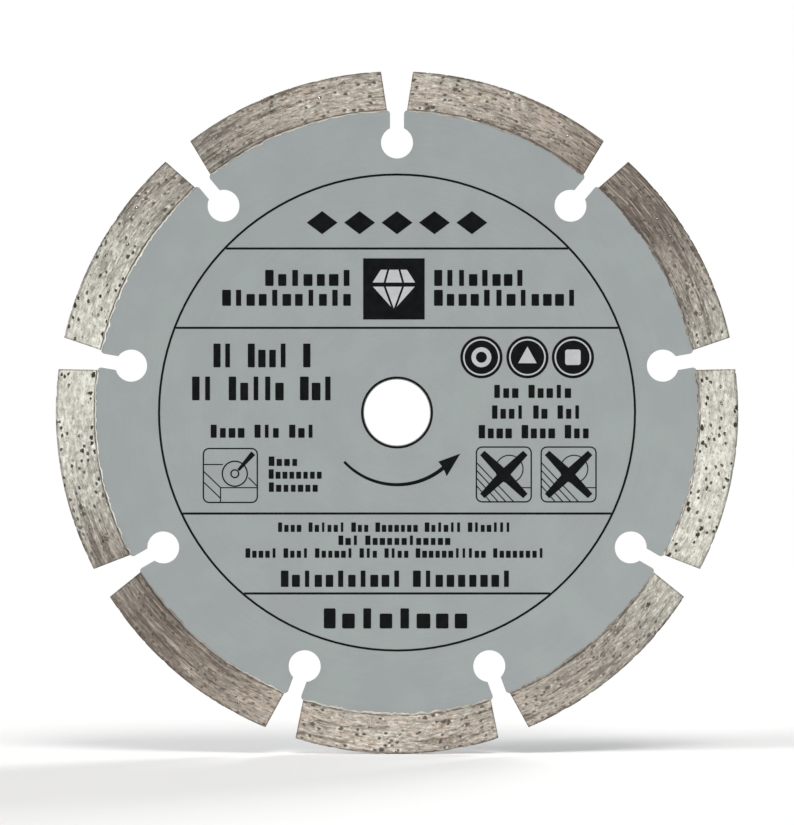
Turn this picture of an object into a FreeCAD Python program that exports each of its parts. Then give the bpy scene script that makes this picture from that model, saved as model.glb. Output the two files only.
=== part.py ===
import FreeCAD, Part
import math
import os
import random

import Sketcher
from FreeCAD import Placement, Rotation, Vector

# A segmented diamond cutting blade, 230 mm across, for an angle grinder.
#
# Frame: millimetres, origin at the centre of the bore on the core's mid-plane, Y along the bore,
# Z up, the printed side facing -Y. Turns are counted clockwise from +Z, seen from the printed side,
# which is a positive rotation about +Y.
#
# The steel core has nine lands between keyhole slots. Each land carries a thinner tongue, a
# diamond-free bond layer sits on the tongue like a saddle, and the sintered segment straddles both.
# Diamond crystals stand in pockets of the segment's two cheeks and of its outer rim.

OUTPUT_FOLDER = "parts"

# The driving dimensions, in millimetres and degrees unless the name says otherwise.
SIZES = {
    # the whole blade
    "outer_diameter": 230.0,
    "segment_count": 9,
    # the steel core
    "bore_diameter": 22.23,
    "core_thickness": 1.8,
    "core_edge_break": 0.15,
    "slot_width": 4.7,
    "keyhole_diameter": 10.8,
    "keyhole_circle_radius": 90.9,
    "land_corner_radius": 1.2,
    # the tongue on each land of the core
    "tongue_height": 1.8,
    "tongue_thickness": 1.2,
    "tongue_setback": 1.0,
    "notch_count": 7,
    "notch_radius": 0.7,
    "notch_pitch_angle": 4.5,
    # the bond layer on each tongue
    "bond_height": 2.4,
    "bond_thickness": 1.7,
    # the sintered segments
    "segment_height": 13.3,
    "segment_thickness": 2.6,
    "segment_edge_break": 0.3,
    "end_gap": 6.7,
    "end_flare_angle": 8.8,
    # the diamond crystals
    "crystal_size_least": 0.58,
    "crystal_size_most": 0.74,
    "crystal_stand": 0.1,
    "crystal_spacing": 1.6,
    "crystal_edge_margin": 0.8,
    "crystals_on_cheek": 28,
    "crystals_on_rim": 10,
}

# How a sketch names the origin, its vertical axis, and the points of a line or an arc.
ORIGIN_POINT = (-1, 1)
VERTICAL_AXIS = -2
START, END, CENTRE = 1, 2, 3

# How far a cut runs past the face it opens, in millimetres.
OVERSHOOT = 2.0

# Each segment's crystals are scattered from a seed of their own.
FIRST_SEED = 2301
TRIES_FOR_EACH_CRYSTAL = 60

doc = FreeCAD.newDocument("DiamondBlade")


# ---------------------------------------------------------------- spreadsheet and expressions


def make_sheet():
    """The spreadsheet of driving dimensions: names in column A, values in column B."""
    table = doc.addObject("Spreadsheet::Sheet", "Sizes")
    for row, (name, value) in enumerate(SIZES.items(), start=1):
        table.set(f"A{row}", name)
        table.set(f"B{row}", str(value))
        table.setAlias(f"B{row}", name)
    doc.recompute()
    return table


sheet = make_sheet()

# Lengths and angles that follow from the driving dimensions, as spreadsheet expressions.
PITCH_ANGLE = "(360 / Sizes.segment_count)"
OUTER_RADIUS = "(Sizes.outer_diameter / 2)"
LAND_RADIUS = f"({OUTER_RADIUS} - Sizes.segment_height)"
MATRIX_RADIUS = f"({OUTER_RADIUS} - Sizes.crystal_stand)"
TONGUE_RADIUS = f"({LAND_RADIUS} + Sizes.tongue_height)"
BOND_RADIUS = f"({LAND_RADIUS} + Sizes.bond_height)"
TONGUE_GAP = "(Sizes.end_gap + 2 * Sizes.tongue_setback)"
CORNER_START = f"({LAND_RADIUS} - Sizes.land_corner_radius)"


def value_of(expression):
    """The present value of a spreadsheet expression, as a plain number."""
    return float(sheet.evalExpression(expression))


# ---------------------------------------------------------------- sketch helpers


def new_sketch(body, name, plane_role):
    """An empty sketch on one of the body's own origin planes."""
    planes = [face for face in body.Origin.OriginFeatures if face.Role == plane_role]
    sketch = body.newObject("Sketcher::SketchObject", name)
    sketch.AttachmentSupport = (planes[0], [""])
    sketch.MapMode = "FlatFace"
    return sketch


def constrain(sketch, kind, *arguments):
    """Add a constraint with no size of its own."""
    sketch.addConstraint(Sketcher.Constraint(kind, *arguments))


def dimension(sketch, name, expression, kind, *arguments, unit=""):
    """Add a constraint whose size is bound to a spreadsheet expression."""
    value = value_of(expression)
    if kind == "Angle":
        value = math.radians(value)
    index = sketch.addConstraint(Sketcher.Constraint(kind, *arguments, value))
    sketch.renameConstraint(index, name)
    sketch.setExpression(f"Constraints.{name}", expression + unit)


def place_point(sketch, name, geometry, point, across, up):
    """Fix a point of a line or an arc by two expressions, its coordinates in the sketch."""
    dimension(sketch, f"{name}_across", across, "DistanceX", *ORIGIN_POINT, geometry, point)
    dimension(sketch, f"{name}_up", up, "DistanceY", *ORIGIN_POINT, geometry, point)


def add_line(sketch, start, end, construction=False):
    """A line between two (across, up) pairs."""
    return sketch.addGeometry(Part.LineSegment(Vector(*start, 0), Vector(*end, 0)), construction)


def add_arc(sketch, centre, radius, start_angle, end_angle):
    """An arc about an (across, up) pair, anticlockwise between two angles in degrees."""
    circle = Part.Circle(Vector(*centre, 0), Vector(0, 0, 1), radius)
    arc = Part.ArcOfCircle(circle, math.radians(start_angle), math.radians(end_angle))
    return sketch.addGeometry(arc, False)


def on_circle(radius, angle):
    """The (across, up) pair at an angle in degrees on a circle about the origin."""
    return radius * math.cos(math.radians(angle)), radius * math.sin(math.radians(angle))


def draw_outline(sketch, corners):
    """A closed outline of straight lines through corners given as (across, up) expressions."""
    points = [(value_of(across), value_of(up)) for across, up in corners]
    lines = [add_line(sketch, *ends) for ends in zip(points, points[1:] + points[:1])]
    for line, following in zip(lines, lines[1:] + lines[:1]):
        constrain(sketch, "Coincident", line, END, following, START)
    for number, (line, (across, up)) in enumerate(zip(lines, corners)):
        place_point(sketch, f"corner_{number}", line, START, across, up)


def draw_sector(sketch, inner_radius, outer_radius, end_gap):
    """A piece of ring centred on the sketch's vertical axis, between two slots.

    end_gap is the width left open at the inner radius, across each slot; from there each end
    leans away from the slot's centreline by the flare angle.
    """
    inner, outer, gap = value_of(inner_radius), value_of(outer_radius), value_of(end_gap)
    flare = math.radians(value_of("Sizes.end_flare_angle"))
    half_pitch = value_of(PITCH_ANGLE) / 2
    inner_half = half_pitch - math.degrees(math.asin(gap / 2 / inner))
    outer_gap = gap + 2 * (outer - inner) * math.tan(flare)
    outer_half = half_pitch - math.degrees(math.asin(outer_gap / 2 / outer))

    inner_arc = add_arc(sketch, (0, 0), inner, 90 - inner_half, 90 + inner_half)
    outer_arc = add_arc(sketch, (0, 0), outer, 90 - outer_half, 90 + outer_half)
    for arc in (inner_arc, outer_arc):
        constrain(sketch, "Coincident", arc, CENTRE, *ORIGIN_POINT)
    dimension(sketch, "inner_radius", inner_radius, "Radius", inner_arc)
    dimension(sketch, "outer_radius", outer_radius, "Radius", outer_arc)

    # on each side a construction line along the slot's centre, and the flared end beside it
    for side, name, arc_end in ((1, "right", START), (-1, "left", END)):
        slot_tip = on_circle(outer, 90 - side * half_pitch)
        slot_line = add_line(sketch, (0, 0), slot_tip, construction=True)
        constrain(sketch, "Coincident", slot_line, START, *ORIGIN_POINT)
        constrain(sketch, "PointOnObject", slot_line, END, outer_arc)
        slot_tip_across = f"{side} * {outer_radius} * sin({PITCH_ANGLE} / 2)"
        dimension(sketch, f"{name}_slot", slot_tip_across, "DistanceX", *ORIGIN_POINT, slot_line, END)

        inner_corner = on_circle(inner, 90 - side * inner_half)
        outer_corner = on_circle(outer, 90 - side * outer_half)
        end_line = add_line(sketch, inner_corner, outer_corner)
        constrain(sketch, "Coincident", end_line, START, inner_arc, arc_end)
        constrain(sketch, "Coincident", end_line, END, outer_arc, arc_end)
        dimension(sketch, f"{name}_gap", f"{end_gap} / 2", "Distance", end_line, START, slot_line)
        first, second = (slot_line, end_line) if side > 0 else (end_line, slot_line)
        flare_arguments = ("Angle", first, START, second, START)
        dimension(sketch, f"{name}_flare", "Sizes.end_flare_angle", *flare_arguments, unit=" * 1 deg")


def draw_keyhole_slot(sketch):
    """The slot between two lands: round relief hole, straight neck, mouth with rounded corners."""
    hole_radius = value_of("Sizes.keyhole_diameter / 2")
    hole_height = value_of("Sizes.keyhole_circle_radius")
    half_width = value_of("Sizes.slot_width / 2")
    corner_radius = value_of("Sizes.land_corner_radius")
    corner_height = value_of(CORNER_START)
    neck_angle = math.degrees(math.asin(half_width / hole_radius))
    neck_foot = hole_height + on_circle(hole_radius, 90 - neck_angle)[1]

    hole = add_arc(sketch, (0, hole_height), hole_radius, 90 + neck_angle, 450 - neck_angle)
    constrain(sketch, "PointOnObject", hole, CENTRE, VERTICAL_AXIS)
    dimension(sketch, "hole_radius", "Sizes.keyhole_diameter / 2", "Radius", hole)
    hole_up = ("DistanceY", *ORIGIN_POINT, hole, CENTRE)
    dimension(sketch, "hole_height", "Sizes.keyhole_circle_radius", *hole_up)

    mouth_ends = []
    for side, name, hole_end in ((-1, "left", START), (1, "right", END)):
        neck = add_line(sketch, (side * half_width, neck_foot), (side * half_width, corner_height))
        centre = (side * (half_width + corner_radius), corner_height)
        angles, neck_end, mouth_end = ((90, 180), END, START) if side > 0 else ((0, 90), START, END)
        corner = add_arc(sketch, centre, corner_radius, *angles)
        constrain(sketch, "Coincident", neck, START, hole, hole_end)
        constrain(sketch, "Vertical", neck)
        constrain(sketch, "Tangent", neck, END, corner, neck_end)
        constrain(sketch, "Vertical", corner, CENTRE, corner, mouth_end)
        dimension(sketch, f"{name}_corner", "Sizes.land_corner_radius", "Radius", corner)
        place_point(sketch, f"{name}_neck", neck, END, f"{side} * Sizes.slot_width / 2", CORNER_START)
        mouth_ends.append((corner, mouth_end))

    mouth_height = corner_height + corner_radius
    mouth_half = half_width + corner_radius
    mouth = add_line(sketch, (-mouth_half, mouth_height), (mouth_half, mouth_height))
    for line_end, (corner, corner_end) in zip((START, END), mouth_ends):
        constrain(sketch, "Coincident", mouth, line_end, corner, corner_end)


# ---------------------------------------------------------------- feature helpers


def add_pad(body, sketch, name, thickness):
    """Pad a sketch equally to both sides of its plane."""
    pad = body.newObject("PartDesign::Pad", name)
    pad.Profile = sketch
    pad.SideType = "Symmetric"
    pad.setExpression("Length", thickness)
    return pad


def add_pocket(body, sketch, name, thickness):
    """Cut a sketch equally to both sides of its plane."""
    pocket = body.newObject("PartDesign::Pocket", name)
    pocket.Profile = sketch
    pocket.SideType = "Symmetric"
    pocket.setExpression("Length", thickness)
    return pocket


def add_ring_pattern(body, name, features, sketch):
    """Repeat features once for every segment, about the bore's axis."""
    pattern = body.newObject("PartDesign::PolarPattern", name)
    pattern.Originals = features
    pattern.Axis = (sketch, ["N_Axis"])
    pattern.Angle = 360
    pattern.setExpression("Occurrences", "Sizes.segment_count")
    body.Tip = pattern
    return pattern


def turn_to_segment(feature, index):
    """Turn a feature built about +Z to its place on the rim; index 0 is the first after the top slot."""
    feature.Placement = Placement(Vector(0, 0, 0), Rotation(Vector(0, 1, 0), 0))
    feature.setExpression("Placement.Rotation.Angle", f"{PITCH_ANGLE} * {index + 0.5}")


# ---------------------------------------------------------------- the steel core


def make_core():
    """The blank: turned disc with broken edges, nine tongues on its rim, nine keyhole slots."""
    body = doc.addObject("PartDesign::Body", "steel_core")
    body.Label = "steel_core"

    bore = "Sizes.bore_diameter / 2"
    face = "Sizes.core_thickness / 2"
    edge = "Sizes.core_edge_break"
    section = new_sketch(body, "disc_section", "XY_Plane")
    draw_outline(
        section,
        [
            (f"{bore} + {edge}", f"-({face})"),
            (f"{LAND_RADIUS} - {edge}", f"-({face})"),
            (LAND_RADIUS, f"-({face} - {edge})"),
            (LAND_RADIUS, f"{face} - {edge}"),
            (f"{LAND_RADIUS} - {edge}", face),
            (f"{bore} + {edge}", face),
            (bore, f"{face} - {edge}"),
            (bore, f"-({face} - {edge})"),
        ],
    )
    disc = body.newObject("PartDesign::Revolution", "disc")
    disc.Profile = section
    disc.ReferenceAxis = (section, ["V_Axis"])
    disc.Angle = 360

    # each tongue starts inside the disc, so that it grows out of the land in one piece
    tongue_sketch = new_sketch(body, "tongue_outline", "XZ_Plane")
    draw_sector(tongue_sketch, f"({LAND_RADIUS} - {OVERSHOOT})", TONGUE_RADIUS, TONGUE_GAP)
    turn_sketch_to_land(tongue_sketch)
    tongue = add_pad(body, tongue_sketch, "tongue", "Sizes.tongue_thickness")

    notch_sketch = new_sketch(body, "anchor_notches", "XZ_Plane")
    draw_notches(notch_sketch)
    turn_sketch_to_land(notch_sketch)
    notches = add_pocket(body, notch_sketch, "notches", "2 * Sizes.core_thickness")
    add_ring_pattern(body, "tongues", [tongue, notches], tongue_sketch)

    slot_sketch = new_sketch(body, "keyhole_outline", "XZ_Plane")
    draw_keyhole_slot(slot_sketch)
    slot = add_pocket(body, slot_sketch, "keyhole_slot", "2 * Sizes.core_thickness")
    add_ring_pattern(body, "keyhole_slots", [slot], slot_sketch)
    return body


def turn_sketch_to_land(sketch):
    """Turn a sketch in its own plane from the top slot to the middle of the next land."""
    sketch.AttachmentOffset = Placement(Vector(0, 0, 0), Rotation(Vector(0, 0, -1), 0))
    sketch.setExpression("AttachmentOffset.Rotation.Angle", f"{PITCH_ANGLE} / 2")


def draw_notches(sketch):
    """Round notches along the tongue's outer edge, where the bond metal keys into the steel."""
    count = int(value_of("Sizes.notch_count"))
    radius = value_of("Sizes.notch_radius")
    for number in range(count):
        steps = number - (count - 1) / 2
        angle = f"({steps} * Sizes.notch_pitch_angle)"
        across, up = f"{TONGUE_RADIUS} * sin({angle})", f"{TONGUE_RADIUS} * cos({angle})"
        centre = Vector(value_of(across), value_of(up), 0)
        circle = sketch.addGeometry(Part.Circle(centre, Vector(0, 0, 1), radius), False)
        place_point(sketch, f"notch_{number}", circle, CENTRE, across, up)
        dimension(sketch, f"notch_{number}_radius", "Sizes.notch_radius", "Radius", circle)


# ---------------------------------------------------------------- segments and bond layers


def make_bond_layer(index, core):
    """The diamond-free saddle over one tongue: a ring sector less the steel that stands in it."""
    body = doc.addObject("PartDesign::Body", f"bond_blank_{index + 1}")
    sketch = new_sketch(body, f"bond_outline_{index + 1}", "XZ_Plane")
    draw_sector(sketch, LAND_RADIUS, BOND_RADIUS, "Sizes.end_gap")
    add_pad(body, sketch, f"bond_pad_{index + 1}", "Sizes.bond_thickness")
    turn_to_segment(body, index)

    layer = doc.addObject("Part::Cut", f"bond_layer_{index + 1}")
    layer.Base = body
    layer.Tool = core
    layer.Label = f"bond_layer_{index + 1}"
    return layer


def make_segment(index, grit):
    """One sintered segment: a ring sector with broken rim edges, a saddle and crystal pockets."""
    body = doc.addObject("PartDesign::Body", f"segment_blank_{index + 1}")
    sketch = new_sketch(body, f"segment_outline_{index + 1}", "XZ_Plane")
    draw_sector(sketch, LAND_RADIUS, MATRIX_RADIUS, "Sizes.end_gap")
    pad = add_pad(body, sketch, f"segment_pad_{index + 1}", "Sizes.segment_thickness")
    doc.recompute()

    edge_break = body.newObject("PartDesign::Chamfer", f"rim_edge_{index + 1}")
    edge_break.Base = (pad, rim_edges(pad.Shape))
    edge_break.setExpression("Size", "Sizes.segment_edge_break")

    # the saddle runs past both ends and below the foot, so that it opens on all three sides
    saddle_sketch = new_sketch(body, f"saddle_outline_{index + 1}", "XZ_Plane")
    draw_sector(saddle_sketch, f"({LAND_RADIUS} - {OVERSHOOT})", BOND_RADIUS, "Sizes.end_gap / 2")
    add_pocket(body, saddle_sketch, f"saddle_{index + 1}", "Sizes.bond_thickness")
    turn_to_segment(body, index)

    segment = doc.addObject("Part::Cut", f"segment_{index + 1}")
    segment.Base = body
    segment.Tool = grit
    segment.Label = f"segment_{index + 1}"
    return segment


def rim_edges(shape):
    """Names of the two long edges where a segment's cheeks meet its outer rim."""
    rim_radius = value_of(MATRIX_RADIUS)
    half_thickness = value_of("Sizes.segment_thickness / 2")
    names = []
    for number, edge in enumerate(shape.Edges, start=1):
        middle = edge.valueAt((edge.FirstParameter + edge.LastParameter) / 2)
        on_rim = abs(math.hypot(middle.x, middle.z) - rim_radius) < 1e-4
        on_cheek = abs(abs(middle.y) - half_thickness) < 1e-4
        if on_rim and on_cheek:
            names.append(f"Edge{number}")
    return names


# ---------------------------------------------------------------- diamond crystals


def crystal_shape(centre, rotation, size):
    """A cubo-octahedral crystal: eight triangles and six squares about its centre."""
    reach = size / 2 / math.sqrt(2)
    corners = []
    for first in (-1, 1):
        for second in (-1, 1):
            corners += [Vector(first, second, 0), Vector(first, 0, second), Vector(0, first, second)]
    triangle_normals = [Vector(x, y, z) for x in (-1, 1) for y in (-1, 1) for z in (-1, 1)]
    axes = (Vector(1, 0, 0), Vector(0, 1, 0), Vector(0, 0, 1))
    square_normals = [axis * sign for axis in axes for sign in (-1, 1)]
    faces = []
    for normal in triangle_normals + square_normals:
        height = max(corner.dot(normal) for corner in corners)
        ring = [corner for corner in corners if math.isclose(corner.dot(normal), height)]
        ring = sort_around(ring, normal)
        placed = [centre + rotation.multVec(corner * reach) for corner in ring]
        faces.append(Part.Face(Part.makePolygon(placed + placed[:1])))
    solid = Part.Solid(Part.Shell(faces))
    if solid.Volume < 0:
        solid.reverse()
    return solid


def sort_around(points, normal):
    """The points in turning order about an axis through their middle."""
    middle = sum(points, Vector(0, 0, 0)) * (1 / len(points))
    first = (points[0] - middle).normalize()
    second = Vector(normal).normalize().cross(first)

    def turn(point):
        return math.atan2((point - middle).dot(second), (point - middle).dot(first))

    return sorted(points, key=turn)


def random_turn(chance):
    """A random rotation."""
    axis = Vector(chance.gauss(0, 1), chance.gauss(0, 1), chance.gauss(0, 1))
    return Rotation(axis, chance.uniform(0, 360))


def end_half_angle(radius):
    """Half the angle, in degrees, that a segment fills at a radius."""
    flare = math.radians(value_of("Sizes.end_flare_angle"))
    half_gap = value_of("Sizes.end_gap") / 2 + (radius - value_of(LAND_RADIUS)) * math.tan(flare)
    return value_of(PITCH_ANGLE) / 2 - math.degrees(math.asin(half_gap / radius))


def random_angle(chance, radius, margin):
    """A random angle from the segment's middle, in radians, clear of both ends by the margin."""
    limit = math.radians(end_half_angle(radius)) - margin / radius
    return chance.uniform(-limit, limit)


def scatter(count, spacing, propose):
    """Up to count random points from propose(), each at least the spacing from the others."""
    chosen = []
    for _ in range(count * TRIES_FOR_EACH_CRYSTAL):
        point = propose()
        if all((point - other).Length > spacing for other in chosen):
            chosen.append(point)
        if len(chosen) == count:
            break
    return chosen


def make_grit(index):
    """The crystals of one segment: some in each cheek and some in the rim, as separate solids.

    Each stands out of its surface by the same small height, so a larger crystal sits deeper. None
    lies over the bond layer, where the cheek is too thin to hold one.
    """
    chance = random.Random(FIRST_SEED + index)
    stand = value_of("Sizes.crystal_stand")
    spacing = value_of("Sizes.crystal_spacing")
    margin = value_of("Sizes.crystal_edge_margin")
    half_thickness = value_of("Sizes.segment_thickness / 2")
    foot = value_of(BOND_RADIUS) + margin / 2
    rim = value_of(MATRIX_RADIUS)

    def on_cheek(side):
        radius = chance.uniform(foot, rim - margin)
        angle = random_angle(chance, radius, margin)
        return Vector(radius * math.sin(angle), side * half_thickness, radius * math.cos(angle))

    def on_rim():
        angle = random_angle(chance, rim, margin)
        across = chance.uniform(-1, 1) * (half_thickness - margin)
        return Vector(rim * math.sin(angle), across, rim * math.cos(angle))

    def crystals_at(points, outward):
        solids = []
        for point in points:
            size = chance.uniform(value_of("Sizes.crystal_size_least"), value_of("Sizes.crystal_size_most"))
            centre = point + outward(point) * (stand - size / 2)
            solids.append(crystal_shape(centre, random_turn(chance), size))
        return solids

    crystals = []
    for side in (-1, 1):
        points = scatter(int(value_of("Sizes.crystals_on_cheek")), spacing, lambda: on_cheek(side))
        crystals += crystals_at(points, lambda point: Vector(0, side, 0))
    points = scatter(int(value_of("Sizes.crystals_on_rim")), spacing, on_rim)
    crystals += crystals_at(points, lambda point: Vector(point.x, 0, point.z).normalize())

    grit = doc.addObject("Part::Feature", f"diamond_grit_{index + 1}")
    grit.Label = f"diamond_grit_{index + 1}"
    grit.Shape = Part.makeCompound(crystals)
    turn_to_segment(grit, index)
    return grit


# ---------------------------------------------------------------- assembly, checks and export


def check_document():
    """Stop if any object of the document failed to recompute."""
    for item in doc.Objects:
        if "Invalid" in item.State or "Error" in item.State:
            raise RuntimeError(f"{item.Name} is {item.State}")


def export(features):
    """Write each sub-part to its own STEP file, named after its label."""
    os.makedirs(OUTPUT_FOLDER, exist_ok=True)
    for feature in features:
        shape = feature.Shape
        if shape.isNull() or not shape.isValid() or not shape.Solids:
            raise RuntimeError(f"{feature.Label} has no valid solid")
        shape.exportStep(f"{OUTPUT_FOLDER}/{feature.Label}.step")


def main():
    core = make_core()
    pieces = [core]
    for index in range(int(value_of("Sizes.segment_count"))):
        grit = make_grit(index)
        pieces += [make_segment(index, grit), make_bond_layer(index, core), grit]
    doc.recompute()
    check_document()
    export(pieces)


main()
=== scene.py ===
import math
from collections import namedtuple

import bmesh
import bpy
import numpy as np
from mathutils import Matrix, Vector


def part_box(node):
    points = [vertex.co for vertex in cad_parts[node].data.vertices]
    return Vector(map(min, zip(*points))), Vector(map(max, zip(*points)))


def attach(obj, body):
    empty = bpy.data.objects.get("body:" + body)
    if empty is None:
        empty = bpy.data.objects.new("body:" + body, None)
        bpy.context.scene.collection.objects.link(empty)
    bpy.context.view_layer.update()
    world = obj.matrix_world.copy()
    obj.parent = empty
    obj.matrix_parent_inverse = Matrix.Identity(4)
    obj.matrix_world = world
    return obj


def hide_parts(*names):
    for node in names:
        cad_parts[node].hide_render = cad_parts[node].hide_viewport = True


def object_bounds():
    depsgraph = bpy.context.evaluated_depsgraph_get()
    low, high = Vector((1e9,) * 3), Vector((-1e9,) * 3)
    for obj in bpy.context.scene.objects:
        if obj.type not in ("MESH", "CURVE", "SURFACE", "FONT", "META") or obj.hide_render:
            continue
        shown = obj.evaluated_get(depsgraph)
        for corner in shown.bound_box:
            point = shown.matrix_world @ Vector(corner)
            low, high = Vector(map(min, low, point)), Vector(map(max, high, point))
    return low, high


# Looks of the segmented diamond blade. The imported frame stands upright: the bore runs along Y, the
# printed side faces -Y and +Z is up. Lengths are metres, written as millimetres times MM, except
# where a comment says that they are plain millimetres.

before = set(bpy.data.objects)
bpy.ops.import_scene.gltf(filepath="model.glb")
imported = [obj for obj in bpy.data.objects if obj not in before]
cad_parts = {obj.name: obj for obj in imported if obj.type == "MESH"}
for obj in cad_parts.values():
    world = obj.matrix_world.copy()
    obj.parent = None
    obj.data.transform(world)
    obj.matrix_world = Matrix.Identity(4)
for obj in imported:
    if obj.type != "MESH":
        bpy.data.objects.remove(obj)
cad_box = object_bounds()

MM = 0.001
BODY = "root"


# ---- sizes read from the frame


def node_points(name):
    """The vertices of a CAD node, as an array of rows."""
    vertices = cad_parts[name].data.vertices
    points = np.empty(len(vertices) * 3, np.float32)
    vertices.foreach_get("co", points)
    return points.reshape(-1, 3).astype(float)


def radii(points):
    """Distances from the bore's axis."""
    return np.hypot(points[:, 0], points[:, 2])


SEGMENT_COUNT = sum(name.startswith("segment_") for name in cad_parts)
PITCH = 2 * math.pi / SEGMENT_COUNT
FOOT_RADIUS = radii(node_points("segment_1")).min()
RIM_RADIUS = radii(node_points("segment_1")).max()
BOND_RADIUS = radii(node_points("bond_layer_1")).max()
SEGMENT_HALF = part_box("segment_1")[1].y
BOND_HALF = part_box("bond_layer_1")[1].y
CORE_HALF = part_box("steel_core")[1].y
OUTER_RADIUS = cad_box[1].x
FLOOR_HEIGHT = cad_box[0].z
BORE_RADIUS = radii(node_points("steel_core")).min()

# the segment's ends, as in the design: the gap across a slot at the foot, and how far it flares
END_GAP = 6.7 * MM
END_FLARE = math.radians(8.8)


# ---- seeded noise for shapes

CELLS = 256


def smooth_step(value):
    """0 below 0, 1 above 1 and an S between."""
    value = np.clip(value, 0, 1)
    return value * value * (3 - 2 * value)


def smooth_noise(across, along, seed):
    """Value noise from -1 to 1 on a plane, one lattice cell for each unit of the coordinates."""
    lattice = np.random.RandomState(seed).uniform(-1, 1, (CELLS, CELLS))
    across, along = np.broadcast_arrays(np.asarray(across, float), np.asarray(along, float))
    column, row = np.floor(across).astype(int), np.floor(along).astype(int)
    x, y = smooth_step(across - column), smooth_step(along - row)
    column, next_column = column % CELLS, (column + 1) % CELLS
    row, next_row = row % CELLS, (row + 1) % CELLS
    near = lattice[row, column] * (1 - x) + lattice[row, next_column] * x
    far = lattice[next_row, column] * (1 - x) + lattice[next_row, next_column] * x
    return near * (1 - y) + far * y


# ---- shader helpers


def srgb(red, green, blue):
    """A display colour, 0 to 255, as the linear colour a shader takes."""

    def linear(value):
        value /= 255
        return value / 12.92 if value <= 0.04045 else ((value + 0.055) / 1.055) ** 2.4

    return (linear(red), linear(green), linear(blue), 1.0)


def new_material(name):
    """A material with nodes, and its tree and Principled shader."""
    material = bpy.data.materials.new(name)
    material.use_nodes = True
    tree = material.node_tree
    return material, tree, tree.nodes["Principled BSDF"]


def add_node(tree, kind, inputs, **settings):
    """A shader node of a kind, with its settings and each input set to a value or linked."""
    made = tree.nodes.new(f"ShaderNode{kind}")
    for name, value in settings.items():
        setattr(made, name, value)
    connect(tree, made, inputs)
    return made


def connect(tree, shader, inputs):
    """Set or link inputs, by name or by number."""
    for key, value in inputs.items():
        if isinstance(value, bpy.types.NodeSocket):
            tree.links.new(value, shader.inputs[key])
        else:
            shader.inputs[key].default_value = value


def calc(tree, operation, first, second=0.0):
    """One operation on two numbers."""
    return add_node(tree, "Math", {0: first, 1: second}, operation=operation).outputs[0]


def product(tree, first, second):
    """Two numbers multiplied."""
    return calc(tree, "MULTIPLY", first, second)


def noise(tree, vector, scale, detail=2.0, roughness=0.5):
    """Noise from 0 to 1, with the scale in features for each unit of the vector."""
    inputs = {"Vector": vector, "Scale": scale, "Detail": detail, "Roughness": roughness}
    return add_node(tree, "TexNoise", inputs).outputs["Fac"]


def ramp(tree, value, start, end, low=0.0, high=1.0):
    """Takes a value between start and end to between low and high, smoothly and held at both ends."""
    inputs = {"Value": value, "From Min": start, "From Max": end, "To Min": low, "To Max": high}
    settings = {"interpolation_type": "SMOOTHSTEP", "clamp": True}
    return add_node(tree, "MapRange", inputs, **settings).outputs["Result"]


def mix_colour(tree, factor, first, second):
    """A blend of two colours."""
    inputs = {0: factor, 6: first, 7: second}
    return add_node(tree, "Mix", inputs, data_type="RGBA").outputs[2]


def object_place(tree):
    """The shading point in the row frame, in metres."""
    return add_node(tree, "TexCoord", {}).outputs["Object"]


def stretch(tree, vector, amounts):
    """The vector with each part scaled."""
    inputs = {0: vector, 1: amounts}
    return add_node(tree, "VectorMath", inputs, operation="MULTIPLY").outputs[0]


def bump(tree, height, distance):
    """A normal from a height, whose full range is the distance in metres."""
    inputs = {"Height": height, "Distance": distance, "Strength": 1.0}
    return add_node(tree, "Bump", inputs).outputs["Normal"]


def facing_away(tree):
    """1 on walls and broken edges, 0 on faces square to the bore's axis."""
    normal = add_node(tree, "NewGeometry", {}).outputs["True Normal"]
    parts = add_node(tree, "SeparateXYZ", {0: normal})
    across = calc(tree, "ABSOLUTE", parts.outputs["Y"])
    return ramp(tree, across, 0.95, 0.85)


# ---- materials

LACQUER_DARK = srgb(148, 153, 154)
LACQUER_LIGHT = srgb(151, 159, 158)
LACQUER_LINE = srgb(132, 138, 138)
LACQUER_FLECK = srgb(186, 192, 191)
STEEL_DARK = srgb(96, 97, 96)
STEEL_LIGHT = srgb(164, 163, 158)
BLACK_INK = (srgb(1, 3, 4), srgb(13, 16, 17))
GREY_INK = (srgb(176, 180, 181), srgb(190, 193, 194))
BOND_DARK = srgb(112, 92, 76)
BOND_LIGHT = srgb(172, 146, 122)
DIAMOND_OLIVE = srgb(34, 31, 26)
DIAMOND_AMBER = srgb(98, 88, 62)
DIAMOND_HAZE = srgb(146, 140, 112)
# Of the matrix's colours the first three are painted sheen: the lit and dim ends of the sheen round the
# rim and the pink sheen at top and bottom. The brightest also lays painted highlights.
MATRIX_SHEEN_LIT = srgb(227, 228, 216)
MATRIX_SHEEN_DIM = srgb(106, 96, 89)
MATRIX_PINK_SHEEN = srgb(203, 184, 168)
MATRIX_STREAK = srgb(198, 186, 173)
MATRIX_BRIGHT = srgb(250, 250, 239)
MATRIX_DULL = srgb(138, 133, 119)
MATRIX_SHADE = srgb(102, 86, 74)
MATRIX_DARK = srgb(42, 35, 29)
MATRIX_EDGE = srgb(78, 68, 61)

# the blank's grinding lines under the lacquer: how many for each metre outward and each radian
LINES_PER_METRE = 1400.0
LINES_PER_RADIAN = 2.5

# the painted sheen's mean, then its waves: how many in a turn, how strong, where they peak in
# degrees; and the wave whose troughs lay the painted pink sheen at top and bottom, in the same way
# but without a strength
SHEEN_MEAN = 0.46
SHEEN_WAVES = ((2, 0.23, 21.0), (4, 0.30, 5.5))
PINK_SHEEN_WAVE = (2, 5.0)


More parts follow.
